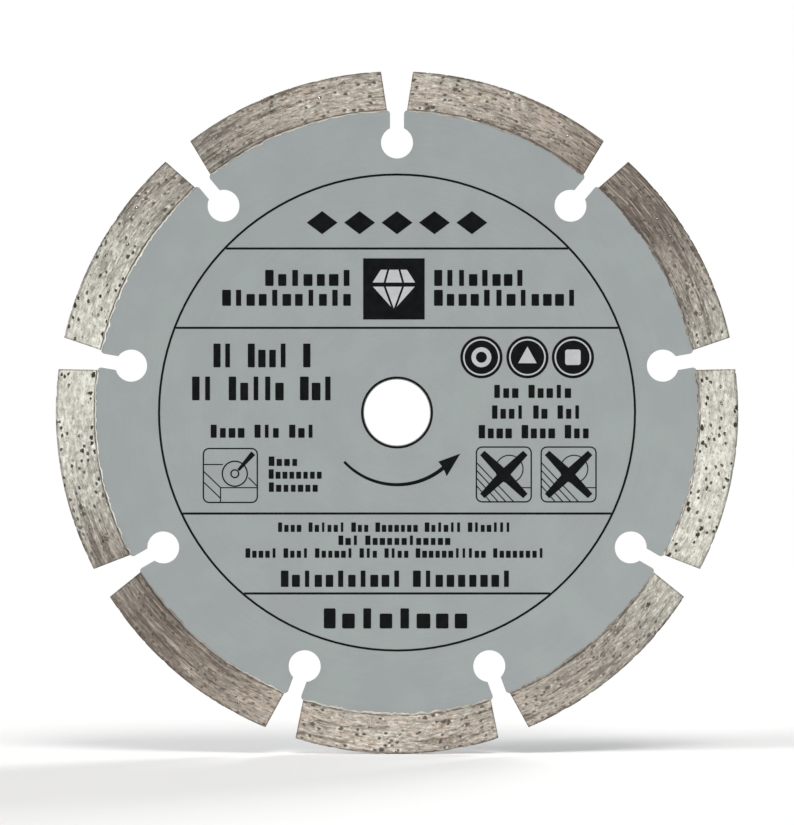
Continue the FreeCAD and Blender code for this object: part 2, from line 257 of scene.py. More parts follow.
def lacquer_material():
    """Grey-green satin lacquer on the core, with bare steel on the cut walls and broken edges."""
    material, tree, shader = new_material("core_lacquer")
    place = object_place(tree)
    cloud = noise(tree, place, 70.0, 3.0)
    fleck = noise(tree, place, 3200.0, 1.0)
    lines = ground_lines(tree, place)
    tone = mix_colour(tree, ramp(tree, cloud, 0.3, 0.7), LACQUER_DARK, LACQUER_LIGHT)
    tone = mix_colour(tree, ramp(tree, lines, 0.4, 0.7, 0.0, 0.12), tone, LACQUER_LINE)
    tone = mix_colour(tree, ramp(tree, fleck, 0.35, 0.75, 0.0, 0.10), tone, LACQUER_FLECK)

    # fine turning lines on the bare steel of the bore, the slots and their broken edges
    steel_grain = noise(tree, stretch(tree, place, (900.0, 9000.0, 900.0)), 1.0, 2.0)
    steel = mix_colour(tree, steel_grain, STEEL_DARK, STEEL_LIGHT)
    bare = facing_away(tree)

    peel = noise(tree, place, 1100.0, 2.0, 0.6)
    wave = noise(tree, place, 160.0, 1.0)
    height = calc(tree, "ADD", peel, product(tree, wave, 0.6))
    height = calc(tree, "ADD", height, product(tree, lines, 0.5))
    satin = ramp(tree, noise(tree, place, 240.0, 3.0), 0.3, 0.7, 0.36, 0.46)
    connect(tree, shader, {
        "Base Color": mix_colour(tree, bare, tone, steel),
        "Metallic": product(tree, bare, 0.85),
        "Roughness": add_node(tree, "Mix", {0: bare, 2: satin, 3: 0.34}).outputs[0],
        "Normal": bump(tree, height, 0.008 * MM),
        "Specular IOR Level": 0.45,
    })
    return material


def ground_lines(tree, place):
    """The blank's grinding lines, which still show a little under the lacquer: long and concentric."""
    flat = stretch(tree, place, (1.0, 0.0, 1.0))
    radius = add_node(tree, "VectorMath", {0: flat}, operation="LENGTH").outputs["Value"]
    outward = product(tree, radius, LINES_PER_METRE)
    around = product(tree, angle_round_bore(tree, place), LINES_PER_RADIAN)
    polar = add_node(tree, "CombineXYZ", {0: outward, 1: around}).outputs[0]
    return noise(tree, polar, 1.0, 3.0, 0.6)


def angle_round_bore(tree, place):
    """The angle round the bore's axis in radians, from +X towards +Z."""
    parts = add_node(tree, "SeparateXYZ", {0: place})
    return calc(tree, "ARCTAN2", parts.outputs["Z"], parts.outputs["X"])


def ink_material(name, tones):
    """Screen-print ink, a little uneven in density, with a fine mesh grain."""
    material, tree, shader = new_material(name)
    place = object_place(tree)
    density = noise(tree, place, 420.0, 4.0, 0.6)
    grain = noise(tree, place, 5200.0, 1.0)
    spread = calc(tree, "ADD", ramp(tree, density, 0.35, 0.75, 0.0, 0.7), product(tree, grain, 0.3))
    connect(tree, shader, {
        "Base Color": mix_colour(tree, spread, *tones),
        "Roughness": ramp(tree, density, 0.3, 0.7, 0.42, 0.6),
        "Specular IOR Level": 0.13,
        "Normal": bump(tree, grain, 0.006 * MM),
    })
    return material


# the grains of the matrix: features for each millimetre along the rim and across it
GRAINS = {
    "blotches": (0.14, 0.24),
    "mottle": (0.45, 0.6),
    "grit": (0.85, 1.5),
    "streaks": (0.36, 1.45),
    "drawn": (0.05, 0.5),
    "scratches": (0.1, 2.0),
    "fine": (0.9, 6.0),
}

# Coats of tone from the bottom up: the grain that lays each, the values where it sets in and is
# full, its strength, which part of the rim takes it (see matrix_colour) and its colour. The bright
# coats on the lit and brightest parts of the painted sheen are painted highlights.
COATS = (
    ("streaks", 0.52, 0.72, 0.7, "lit", MATRIX_BRIGHT),
    ("mottle", 0.5, 0.68, 0.8, "brightest", MATRIX_BRIGHT),
    ("mottle", 0.5, 0.34, 0.38, "all", MATRIX_DULL),
    ("streaks", 0.48, 0.31, 0.8, "dim", MATRIX_SHADE),
    ("drawn", 0.5, 0.34, 0.62, "dim", MATRIX_EDGE),
    ("scratches", 0.53, 0.68, 0.8, "dim", MATRIX_STREAK),
    ("fine", 0.45, 0.28, 0.35, "all", MATRIX_SHADE),
    ("grit", 0.60, 0.70, 0.7, "lit", MATRIX_BRIGHT),
    ("grit", 0.38, 0.30, 0.75, "all", MATRIX_DARK),
)


def matrix_material():
    """Sintered segment metal: streaks ground along the rim, specks, painted sheen and shade."""
    material, tree, shader = new_material("sintered_matrix")
    place = stored(tree, "grain_place", "Vector")
    grains = {}
    for name, (along, across) in GRAINS.items():
        grains[name] = noise(tree, stretch(tree, place, (along, across, across)), 1.0, 2.0, 0.6)

    height = calc(tree, "ADD", product(tree, grains["fine"], 0.7), product(tree, grains["grit"], 0.6))
    height = calc(tree, "ADD", height, grains["streaks"])
    tangent = add_node(tree, "Tangent", {}, direction_type="RADIAL", axis="Y").outputs[0]
    connect(tree, shader, {
        "Base Color": matrix_colour(tree, grains),
        "Metallic": ramp(tree, stored(tree, "pore"), 0.1, 0.6, 0.35, 0.0),
        "Roughness": ramp(tree, grains["fine"], 0.3, 0.7, 0.52, 0.40),
        "Anisotropic": 0.7,
        "Tangent": tangent,
        "Normal": bump(tree, height, 0.05 * MM),
    })
    return material


def matrix_colour(tree, grains):
    """The matrix's tone: painted sheen and pink sheen, the coats, flecks, painted gleam and shade."""
    sheen = painted_sheen(tree)
    # the parts of the rim that take the coats, set by the painted sheen: lit, brightest and dim
    parts = {
        "all": 1.0,
        "lit": ramp(tree, sheen, 0.0, 0.55, 0.15, 1.0),
        "brightest": ramp(tree, sheen, 0.3, 0.9),
        "dim": ramp(tree, sheen, 0.35, 1.0, 1.0, 0.3),
    }
    # painted sheen: dim to lit round the rim, then a painted pink sheen at top and bottom
    colour = mix_colour(tree, sheen, MATRIX_SHEEN_DIM, MATRIX_SHEEN_LIT)
    pink_sheen = ramp(tree, rim_wave(tree, *PINK_SHEEN_WAVE), -0.1, -1.0, 0.1, 0.7)
    pink_sheen = product(tree, pink_sheen, ramp(tree, grains["blotches"], 0.3, 0.6, 0.4, 1.0))
    colour = mix_colour(tree, pink_sheen, colour, MATRIX_PINK_SHEEN)
    for grain, start, full, strength, part, tone in COATS:
        amount = ramp(tree, grains[grain], start, full, 0.0, strength)
        colour = mix_colour(tree, product(tree, amount, parts[part]), colour, tone)
    # bright flecks where the painted sheen is lit, and the painted highlight on the left-hand feet
    colour = mix_colour(tree, product(tree, stored(tree, "fleck"), parts["lit"]), colour, MATRIX_BRIGHT)
    # painted shade along the rim and end edges, over the rim and on the feet, broken up by the streaks
    painted_edge_shade = product(tree, stored(tree, "edge"), ramp(tree, grains["streaks"], 0.3, 0.7, 1.0, 0.55))
    colour = mix_colour(tree, painted_edge_shade, colour, MATRIX_EDGE)
    # painted shade in each pore and in the hollow round each crystal, weaker where the sheen is dim
    hollow = ramp(tree, stored(tree, "pore"), 0.1, 0.6)
    hollow = product(tree, hollow, ramp(tree, sheen, 0.1, 0.8, 0.5, 1.0))
    return mix_colour(tree, hollow, colour, MATRIX_DARK)


def stored(tree, name, output="Fac"):
    """What the mesh stores for each of its points under a name."""
    return add_node(tree, "Attribute", {}, attribute_name=name).outputs[output]


def rim_wave(tree, times, peak):
    """A wave round the rim from -1 to 1, peaking at so many degrees clockwise from +X."""
    angle = angle_round_bore(tree, object_place(tree))
    turned = product(tree, calc(tree, "ADD", angle, math.radians(peak)), float(times))
    return calc(tree, "COSINE", turned)


def painted_sheen(tree):
    """0 to 1 round the rim: painted sheen, light where the wheel-ground face would catch the light."""
    total = SHEEN_MEAN
    for times, share, peak in SHEEN_WAVES:
        total = calc(tree, "ADD", product(tree, rim_wave(tree, times, peak), share), total)
    return total


def bond_material():
    """The diamond-free layer: finer, coppery and evenly grained."""
    material, tree, shader = new_material("bond_metal")
    grain = noise(tree, object_place(tree), 2600.0, 3.0, 0.7)
    connect(tree, shader, {
        "Base Color": mix_colour(tree, ramp(tree, grain, 0.3, 0.7), BOND_DARK, BOND_LIGHT),
        "Metallic": 0.8,
        "Roughness": ramp(tree, grain, 0.3, 0.7, 0.6, 0.4),
        "Normal": bump(tree, grain, 0.03 * MM),
    })
    return material


def diamond_material():
    """Synthetic diamond grit: dark olive to amber crystals, each with a tone of its own."""
    material, tree, shader = new_material("diamond")
    chance = add_node(tree, "NewGeometry", {}).outputs["Random Per Island"]
    haze = noise(tree, object_place(tree), 5200.0, 2.0)
    tone = mix_colour(tree, chance, DIAMOND_OLIVE, DIAMOND_AMBER)
    connect(tree, shader, {
        "Base Color": mix_colour(tree, ramp(tree, haze, 0.5, 0.8, 0.0, 0.4), tone, DIAMOND_HAZE),
        "Roughness": ramp(tree, haze, 0.3, 0.8, 0.12, 0.35),
        "IOR": 2.42,
        "Normal": bump(tree, haze, 0.01 * MM),
    })
    return material


# ---- segments

# how finely a segment is meshed, and where the close columns near its ends lie
COLUMNS_PER_HALF = 112
NEAR_END_COLUMNS = (0.0, 0.04, 0.09, 0.16, 0.26, 0.4)
EVEN_COLUMNS_FROM = 0.6 * MM
CHEEK_STEP = 0.2 * MM
FOOT_ROWS = 9
CORNER_ROWS = 4
RIM_ROWS = 10

# the worn corner between cheek and rim, and the worn edges of the two ends
CORNER = 0.3 * MM
END_ROUNDING = 0.22 * MM
END_WEAR = 0.8

# the foot: a thin flash lies flat on the lacquer and reaches inward by a mean length with waves on
# it, each a strength and a length, in plain millimetres; then a ramp climbs to the cheek
FLASH_THICKNESS = 0.05 * MM
FLASH_BURIED = 0.02 * MM
FLASH_REACH = 0.42
FLASH_WAVES = ((0.38, 2.6), (0.22, 0.9))
FLASH_MOST = 1.0
FLASH_LEAST = 0.13 * MM
FLASH_FADE = 1.5 * MM
RAMP_TOP = 0.45 * MM

# from 0 at the flash's lip to 1 at the ramp's top: where the ramp starts, where the painted gleam on
# the flat ends and its fade, and where the painted shade on the ramp is deepest, its reach and its
# fade; then the painted shade on the feet of the right-hand segments
RAMP_START = 0.42
RAMP_STEEPNESS = 1.1
GLEAM_END = 0.6
GLEAM_FADE = 0.2
SHADE_MIDDLE = 0.75
SHADE_REACH = 0.32
SHADE_FADE = 0.2
SHADE_ON_RIGHT = 0.8

# relief in plain millimetres: the mean depth, then waves, each a strength and its lengths across
# and along; then the bites out of the rim: depth, length and the noise at which they start
CHEEK_DEPTH = 0.045
CHEEK_WAVES = ((0.028, 0.42, 16.0), (0.022, 3.2, 9.0), (0.012, 0.9, 4.0))
RIM_DEPTH = 0.06
RIM_WAVES = ((0.035, 1.2, 2.4), (0.025, 0.5, 0.6))
NIBBLE_DEPTH = 0.4
NIBBLE_LENGTH = 1.3
NIBBLE_FROM = 0.45

# how far in from the rim its bites reach on a cheek, and over what length they fade in
NIBBLE_REACH = 2 * CORNER
NIBBLE_FADE = 1.5 * CORNER

# pores lie in short chains along the grinding marks; in plain millimetres, or in pore sizes: the
# margins at foot, rim and ends, the steps along a chain, its wander, then a pore's size and shape
CHAINS_PER_CHEEK = 14
CHAIN_MOST = 3
CHAIN_MARGINS = (0.8, 0.6, 0.7)
PORE_STEPS = (1.3, 3.2)
PORE_WANDER = 0.8
PORE_LEAST = 0.38
PORE_SPREAD = 0.4
PORE_SINK = 0.3
PORE_STRETCH = 1.4
SPOT_REACH = 1.35
SPOT_RAGGED = 0.4
RAGGED_LENGTHS = (0.33, 0.45)

# a bright fleck beside a pore: how far ahead in pore sizes, its stretch and size, how bright
FLECK_AHEAD = 1.9
FLECK_STRETCH = 1.7
FLECK_SIZE = 0.85
FLECK_BRIGHT = (-0.6, 0.9)

# no crystal is longer than this, nor nearer to the next one
CRYSTAL_REACH = 0.8 * MM

# the hollow round each crystal, in plain millimetres: size, depth, and its fleck's place and tone
MOAT_SIZE = 0.44
MOAT_SINK = 0.05
MOAT_AHEAD = 0.9
MOAT_BRIGHT = 0.5

# how far the painted shade along the rim and end edges reaches inward, and how much painted shade
# the rim takes
RIM_EDGE = 1.2 * MM
END_EDGE = 0.7 * MM
RIM_SHADE = 0.3

# every segment has this many seeds of its own, for its pores and its waves
SEEDS_EACH = 40
SIDE_SEEDS = 20
RAGGED_SEED = 7
RIM_SEED = 3
NIBBLE_SEED = 8
FLASH_SEEDS = (6, 9)

# how far apart in the grain, in millimetres, one segment lies from the next
GRAIN_SHIFT = 100

Mark = namedtuple("Mark", "place radius size sink ahead bright")


def half_angle(radius):
    """Half the angle a segment fills at a radius, between its two flared ends."""
    half_gap = END_GAP / 2 + (radius - FOOT_RADIUS) * math.tan(END_FLARE)
    return PITCH / 2 - np.arcsin(half_gap / radius)


def half_length(radius):
    """Half the length a segment fills along the arc at a radius."""
    return half_angle(radius) * radius


def centre_angle(index):
    """Where a segment's middle lies, clockwise from +Z on the printed side."""
    return (index + 0.5) * PITCH


def crystal_centres(index):
    """Places of the segment's crystals: along the arc from its middle, radius and depth."""
    points = node_points(f"diamond_grit_{index + 1}")
    centres = []
    while len(points):
        near = np.linalg.norm(points - points[0], axis=1) < CRYSTAL_REACH
        cluster = points[near]
        centres.append((cluster.min(axis=0) + cluster.max(axis=0)) / 2)
        points = points[~near]
    centres = np.array(centres)
    radius = radii(centres)
    angle = np.arctan2(centres[:, 0], centres[:, 2]) - centre_angle(index)
    angle = (angle + math.pi) % (2 * math.pi) - math.pi
    return np.column_stack([angle * radius, radius, centres[:, 1]])


def column_places():
    """Places along a segment from -1 to 1 as one column, close together near both ends."""
    half = half_length(RIM_RADIUS)
    rest = np.linspace(EVEN_COLUMNS_FROM, half, COLUMNS_PER_HALF)
    from_end = np.concatenate([np.array(NEAR_END_COLUMNS) * MM, rest])
    left = from_end / half - 1
    right = -left[-2::-1]
    return np.concatenate([left, right])[:, None]


def cheek_rows():
    """The rows of a cheek and its worn corner, from the ramp's top to the rim.

    Returns their radius, their height off the mid-plane, and the radial and sideways parts of the
    outward normal.
    """
    count = int((RIM_RADIUS - CORNER - FOOT_RADIUS - RAMP_TOP) / CHEEK_STEP)
    turn = np.linspace(0, math.pi / 2, CORNER_ROWS + 2)[1:]
    radial = np.concatenate([np.zeros(count), np.sin(turn)])
    sideways = np.concatenate([np.ones(count), np.cos(turn)])
    flat = np.linspace(FOOT_RADIUS + RAMP_TOP, RIM_RADIUS - CORNER, count)
    radius = np.concatenate([flat, RIM_RADIUS - CORNER + CORNER * np.sin(turn)])
    height = np.where(radial > 0, SEGMENT_HALF - CORNER + CORNER * sideways, SEGMENT_HALF)
    return radius, height, radial, sideways


def relief(mean, waves, across, along, seed):
    """A mean depth with waves on it, in metres; each wave has a seed of its own."""
    depth = mean
    for number, (strength, wave_across, wave_along) in enumerate(waves, start=1):
        place = (across / (wave_across * MM), along / (wave_along * MM))
        depth = depth + strength * smooth_noise(*place, seed + number)
    return depth * MM


def nibble(arc, seed):
    """Small bites out of the rim and its corners, in metres."""
    bites = smooth_noise(arc / (NIBBLE_LENGTH * MM), 0, seed + NIBBLE_SEED) - NIBBLE_FROM
    return NIBBLE_DEPTH * MM * np.clip(bites, 0, 1)


def end_wear(places):
    """How far the edges of the two ends are worn down, in metres."""
    distance = (1 - np.abs(places)) * half_length(RIM_RADIUS)
    return END_ROUNDING * END_WEAR * (1 - np.sqrt(1 - np.clip(1 - distance / END_ROUNDING, 0, 1) ** 2))


def pore_marks(chance):
    """Random pores of a cheek; of every four chains one runs along its foot and one along its rim."""
    from_foot, from_rim, from_end = CHAIN_MARGINS
    low, high = FOOT_RADIUS + from_foot * MM, RIM_RADIUS - from_rim * MM
    marks = []
    for chain in range(CHAINS_PER_CHEEK):
        radius = (low, chance.uniform(low, high), high, chance.uniform(low, high))[chain % 4]
        limit = half_length(radius) - from_end * MM
        place = limit * (2 * (chain + chance.uniform()) / CHAINS_PER_CHEEK - 1)
        for _ in range(chance.randint(1, CHAIN_MOST + 1)):
            size = (PORE_LEAST + PORE_SPREAD * chance.uniform() ** 2) * MM
            line = radius + chance.uniform(-PORE_WANDER, PORE_WANDER) * MM
            ahead = chance.choice((-1, 1)) * FLECK_AHEAD * size
            bright = max(0, chance.uniform(*FLECK_BRIGHT))
            marks.append(Mark(np.clip(place, -limit, limit), line, size, PORE_SINK * size, ahead, bright))
            place += chance.uniform(*PORE_STEPS) * MM
    return marks


def moat_marks(crystals, side):
    """The metal stands back a little round each crystal of one cheek."""
    size, sink, ahead = MOAT_SIZE * MM, MOAT_SINK * MM, MOAT_AHEAD * MM
    return [
        Mark(arc, radius, size, sink, ahead, MOAT_BRIGHT if arc > 0 else 0)
        for arc, radius, depth in crystals
        if depth * side > SEGMENT_HALF / 2
    ]


def press(marks, arc, radius, seed):
    """How deep the marks sink a cheek, and where their dark hollows and bright flecks are."""
    across, along = RAGGED_LENGTHS
    waves = smooth_noise(radius / (across * MM), arc / (along * MM), seed + RAGGED_SEED)
    ragged = 1 + SPOT_RAGGED * waves

    def spot(place, line, stretch, size):
        """1 inside a ragged oval and 0 outside it."""
        distance = np.hypot((arc - place) / stretch, radius - line) / size
        return smooth_step(SPOT_REACH - distance * ragged)

    sink, pore, fleck = np.zeros((3, *arc.shape))
    for mark in marks:
        hollow = spot(mark.place, mark.radius, PORE_STRETCH, mark.size)
        sink += mark.sink * hollow
        pore = np.maximum(pore, hollow)
        light = spot(mark.place + mark.ahead, mark.radius, FLECK_STRETCH, FLECK_SIZE * mark.size)
        fleck = np.maximum(fleck, mark.bright * light)
    return sink, pore, np.clip(fleck - pore, 0, 1)


def strip(*values):
    """Part of a segment's skin: radius, side, pore, fleck and painted shade of its points, column by row.
    """
    return np.stack(np.broadcast_arrays(*values))


def cheek_strip(index, side, places, marks):
    """One ground cheek with its worn corner, and the depth of its lowest row."""
    seed = SEEDS_EACH * (index + 1)
    row_radius, row_height, radial, sideways = cheek_rows()
    arc = places * half_length(row_radius)
    radius = np.broadcast_to(row_radius, arc.shape)
    depth = relief(CHEEK_DEPTH, CHEEK_WAVES, radius, arc, seed + SIDE_SEEDS * side)
    sink, pore, fleck = press(marks, arc, radius, seed + SIDE_SEEDS * side)
    depth = depth + sink + end_wear(places)
    at_corner = smooth_step((radius - RIM_RADIUS + NIBBLE_REACH) / NIBBLE_FADE)
    sunk_radius = radius - depth * radial - at_corner * nibble(arc, seed)
    edge = edge_shade(row_radius, places)
    return strip(sunk_radius, (row_height - depth * sideways) * side, pore, fleck, edge), depth[:, :1]


def edge_shade(radius, places):
    """Painted shade: 1 along the cheek's outer and end edges, falling to 0 a little way in."""
    from_end = (1 - np.abs(places)) * half_length(RIM_RADIUS)
    at_rim = 1 - smooth_step((RIM_RADIUS - radius) / RIM_EDGE)
    return np.maximum(at_rim, 1 - smooth_step(from_end / END_EDGE))


def foot_strips(index, side, places, cheek_depth):
    """The flash: a lip buried in the lacquer, then the flat and the ramp up to the cheek."""
    arc = places * half_length(FOOT_RADIUS)
    reach = FLASH_REACH
    for (strength, length), seed in zip(FLASH_WAVES, FLASH_SEEDS):
        seed += SEEDS_EACH * (index + 1) + side
        reach = reach + strength * smooth_noise(arc / (length * MM), 0, seed)
    fade = smooth_step((half_length(FOOT_RADIUS) - np.abs(arc)) / FLASH_FADE)
    flash = np.maximum(np.clip(reach, 0, FLASH_MOST) * MM * fade, FLASH_LEAST)

    steps = np.linspace(0, 1, FOOT_ROWS)
    lip = CORE_HALF + FLASH_THICKNESS
    rise = smooth_step((steps - RAMP_START) / (1 - RAMP_START) * RAMP_STEEPNESS)
    radius = FOOT_RADIUS - flash + steps * (flash + RAMP_TOP)
    height = lip + (SEGMENT_HALF - lip - cheek_depth) * rise

    # painted light: a painted highlight on the flat of the left-hand feet, painted shade on the ramp
    # above it, and painted shade over the whole feet of the right-hand segments
    leftward = 0.5 - 0.5 * np.sin(centre_angle(index) + places * half_angle(FOOT_RADIUS))
    gleam = leftward * smooth_step((GLEAM_END - steps) / GLEAM_FADE)
    shade = smooth_step((SHADE_REACH - np.abs(steps - SHADE_MIDDLE)) / SHADE_FADE)
    shade = np.maximum(shade, SHADE_ON_RIGHT - leftward)
    buried = strip(radius[:, :1], (CORE_HALF - FLASH_BURIED) * side, 0, 0, 0)
    return buried, strip(radius, height * side, 0, gleam, shade)


def rim_strip(index, places):
    """The dressed rim between the two corners."""
    seed = SEEDS_EACH * (index + 1)
    side = np.linspace(-1, 1, RIM_ROWS + 2)[1:-1] * (SEGMENT_HALF - CORNER)
    arc = places * half_length(RIM_RADIUS)
    depth = relief(RIM_DEPTH, RIM_WAVES, side, arc, seed + RIM_SEED)
    radius = RIM_RADIUS - depth - nibble(arc, seed) - end_wear(places)
    return strip(radius, side, 0, 0, RIM_SHADE)


def saddle_strip(places):
    """The hollow that holds the bond layer, from the back foot over its top to the front foot."""
    radius = np.array([FOOT_RADIUS, BOND_RADIUS, BOND_RADIUS, FOOT_RADIUS])
    side = np.array([BOND_HALF, BOND_HALF, -BOND_HALF, -BOND_HALF])
    return strip(radius + 0 * places, side, 0, 0, 0)


def segment_mesh(index):
    """One segment as a closed mesh: two ground cheeks, rim, flared ends, foot with flash, saddle."""
    chance = np.random.RandomState(SEEDS_EACH * (index + 1))
    crystals = crystal_centres(index)
    places = column_places()
    sides = []
    for side in (-1, 1):
        marks = pore_marks(chance) + moat_marks(crystals, side)
        cheek, lowest_depth = cheek_strip(index, side, places, marks)
        buried, foot = foot_strips(index, side, places, lowest_depth)
        sides.append(np.concatenate([buried, foot, cheek[:, :, 1:]], axis=2))
    front, back = sides
    skin = [front, rim_strip(index, places), back[:, :, ::-1], saddle_strip(places)]
    return sweep(index, places, np.concatenate(skin, axis=2))


def sweep(index, places, skin):
    """Bends a skin along the arc, closes both ends and stores what the material reads."""
    radius, side, pore, fleck, edge = skin
    angle = centre_angle(index) + places * half_angle(radius)
    points = np.stack([radius * np.sin(angle), side, radius * np.cos(angle)], axis=-1).reshape(-1, 3)

    columns, count = radius.shape
    numbers = np.arange(columns * count).reshape(columns, count)
    following = np.roll(numbers, -1, axis=1)
    quads = np.stack([numbers[:-1], following[:-1], following[1:], numbers[1:]], axis=-1).reshape(-1, 4)
    faces = quads.tolist() + [numbers[0, ::-1].tolist(), numbers[-1].tolist()]

    mesh = bpy.data.meshes.new(f"cutting_segment_{index + 1}")
    mesh.from_pydata(points.tolist(), [], faces)
    mesh.validate()
    smooth = np.ones(len(mesh.polygons), bool)
    smooth[-2:] = False
    mesh.polygons.foreach_set("use_smooth", smooth)
    mark_end_edges_sharp(mesh, columns, count)

    arc = places * half_length(radius)
    grain = np.stack([arc / MM + GRAIN_SHIFT * index, radius / MM, side / MM], axis=-1)
    store(mesh, "grain_place", "FLOAT_VECTOR", "vector", grain)
    for name, value in (("pore", pore), ("fleck", fleck), ("edge", edge)):
        store(mesh, name, "FLOAT", "value", value)
    return mesh


def store(mesh, name, kind, field, values):
    """Keep a value for each point of a mesh."""
    attribute = mesh.attributes.new(name, kind, "POINT")
    attribute.data.foreach_set(field, values.reshape(-1).astype(np.float32))


def mark_end_edges_sharp(mesh, columns, count):
    """Keeps a crisp edge where the flat ends meet the swept sides."""
    ends = np.empty(len(mesh.edges) * 2, np.int32)
    mesh.edges.foreach_get("vertices", ends)
    column = ends.reshape(-1, 2) // count
    at_end = (column[:, 0] == column[:, 1]) & np.isin(column[:, 0], (0, columns - 1))
    mesh.edges.foreach_set("use_edge_sharp", at_end)


def make_segments(material):
    """Every segment as a detailed mesh in place of its CAD solid; the crystals stay as they are."""
    for index in range(SEGMENT_COUNT):
        segment = add_piece(segment_mesh(index), material)
        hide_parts(f"segment_{index + 1}")


# ---- pieces


def new_object(name, data):
    """A new object in the scene."""
    made = bpy.data.objects.new(name, data)
    bpy.context.scene.collection.objects.link(made)
    return made


def add_piece(mesh, material):
    """A mesh as a piece on the blade's body, in one material."""
    piece = new_object(mesh.name, mesh)
    mesh.materials.append(material)
    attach(piece, BODY)
    return piece


def dress_cad_nodes(materials):
    """Give every CAD node that stays in view its own material."""
    for name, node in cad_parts.items():
        for prefix, material in materials.items():
            if name.startswith(prefix):
                node.data.materials.clear()
                node.data.materials.append(material)


# ---- the print

INK_THICKNESS = 0.035 * MM
INK_SUNK = 0.005 * MM
LEVEL_STEP = 0.001 * MM
LEVELS = 8
STEP_DEGREES = 3
CORNER_STEPS = 4


class Ink:
    """Gathers flat shapes, in plain millimetres as seen from the printed side, as thin solid ink."""

    def __init__(self, layer=0):
        self.points, self.faces = [], []
        self.under = CORE_HALF + layer * (INK_THICKNESS + LEVELS * LEVEL_STEP)
        self.shapes_made = 0

    def ring_of(self, outline):
        """Two copies of an outline, one on the lacquer and one on the ink's face."""
        start = len(self.points)
        thickness = INK_THICKNESS + (self.shapes_made % LEVELS) * LEVEL_STEP
        for level in (self.under - INK_SUNK, self.under + thickness):
            self.points += [(x * MM, -level, z * MM) for x, z in outline]
        return start, len(outline)

    def plate(self, outline):
        """A solid with the outline's shape; shapes that cross lie on slightly different levels."""
        self.shapes_made += 1
        start, count = self.ring_of(outline)
        near, far = range(start, start + count), range(start + count, start + 2 * count)
        self.faces += [tuple(near), tuple(far)]
        for k in range(count):
            following = (k + 1) % count
            self.faces.append((near[k], near[following], far[following], far[k]))

    def band(self, inner, outer, closed=True):
        """A solid between two outlines of as many points; an open band gets closed ends."""
        self.shapes_made += 1
        inner_start, count = self.ring_of(inner)
        outer_start, _ = self.ring_of(outer)
        spans = count if closed else count - 1
        for k in range(spans):
            n = (k + 1) % count
            a, b = inner_start + k, inner_start + n
            c, d = outer_start + k, outer_start + n
            self.faces += [(a, b, d, c), (a + count, c + count, d + count, b + count)]
            self.faces += [(a, a + count, b + count, b), (c, d, d + count, c + count)]
        if not closed:
            for k in (0, count - 1):
                a, c = inner_start + k, outer_start + k
                self.faces.append((a, c, c + count, a + count))

    def line(self, start, end, width, end_width=None):
        """A straight stroke with square ends, which may widen or narrow on its way."""
        start, end = Vector(start), Vector(end)
        along = (end - start).normalized()
        side = Vector((-along.y, along.x)) / 2
        last = width if end_width is None else end_width
        corners = (start + side * width, start - side * width, end - side * last, end + side * last)
        self.plate([tuple(corner) for corner in corners])

    def ring(self, centre, radius, width):
        """A round line whose middle is at the radius."""
        inner = round_points(centre, radius - width / 2)
        outer = round_points(centre, radius + width / 2)
        self.band(inner, outer)

    def cross(self, centre, reach, width, end_width):
        """Two slanting strokes that cross, each narrowing from the middle to its ends."""
        points = []
        for direction in (45, 135, 225, 315):
            along = Vector(point_at((0, 0), 1, direction))
            side = Vector((-along.y, along.x)) * end_width / 2
            notch = point_at((0, 0), width / math.sqrt(2), direction + 45)
            points += [along * reach - side, along * reach + side, notch]
        self.plate([moved(centre, point) for point in points])

    def arc(self, centre, radius, start, end, width, end_width):
        """Part of a round line between two angles in degrees, widening on its way."""
        steps = int(abs(end - start) / STEP_DEGREES)
        inner, outer = [], []
        for k in range(steps + 1):
            angle = start + (end - start) * k / steps
            half = (width + (end_width - width) * k / steps) / 2
            inner.append(point_at(centre, radius - half, angle))
            outer.append(point_at(centre, radius + half, angle))
        self.band(inner, outer, closed=False)

    def box(self, left, right, low, high, corner=0.0):
        """A filled box, with round corners if asked."""
        if corner:
            self.plate(rounded_box(left, right, low, high, corner))
        else:
            self.plate([(left, low), (right, low), (right, high), (left, high)])

    def frame_box(self, left, right, low, high, corner, width):
        """The outline of a box with round corners."""
        outer = rounded_box(left, right, low, high, corner)
        inner = rounded_box(left + width, right - width, low + width, high - width, corner - width)
        self.band(inner, outer)

    def finish(self, name, material):
        """The gathered solids as one piece."""
        mesh = bpy.data.meshes.new(name)
        mesh.from_pydata(self.points, [], self.faces)
        turn_faces_outward(mesh)
        return add_piece(mesh, material)


def turn_faces_outward(mesh):
    """Makes every closed shape of a mesh face outward."""
    shape = bmesh.new()
    shape.from_mesh(mesh)
    bmesh.ops.recalc_face_normals(shape, faces=shape.faces)
    shape.to_mesh(mesh)
    shape.free()


def point_at(centre, radius, degrees):
    """The point at an angle anticlockwise from +X."""
    angle = math.radians(degrees)
    return (centre[0] + radius * math.cos(angle), centre[1] + radius * math.sin(angle))


def round_points(centre, radius):
    """Points all the way round a circle."""
    return [point_at(centre, radius, turn) for turn in range(0, 360, STEP_DEGREES)]


def rounded_box(left, right, low, high, corner):
    """The outline of a box with round corners, anticlockwise."""
    centres = (
        (right - corner, low + corner, -90),
        (right - corner, high - corner, 0),
        (left + corner, high - corner, 90),
        (left + corner, low + corner, 180),
    )
    return [
        point_at((x, z), corner, start + 90 * k / CORNER_STEPS)
        for x, z, start in centres
        for k in range(CORNER_STEPS + 1)
    ]


# ---- what the print shows
# All lengths here are plain millimetres from the bore's centre, as seen from the printed side.

PRINT_RADIUS = 80.1
RULE_WIDTH = 0.72
RULE_HEIGHTS = (55.2, 28.5, -34.0, -60.9)
BORE_RING_WIDTH = 0.75
BORE_RING_GAP = 0.25


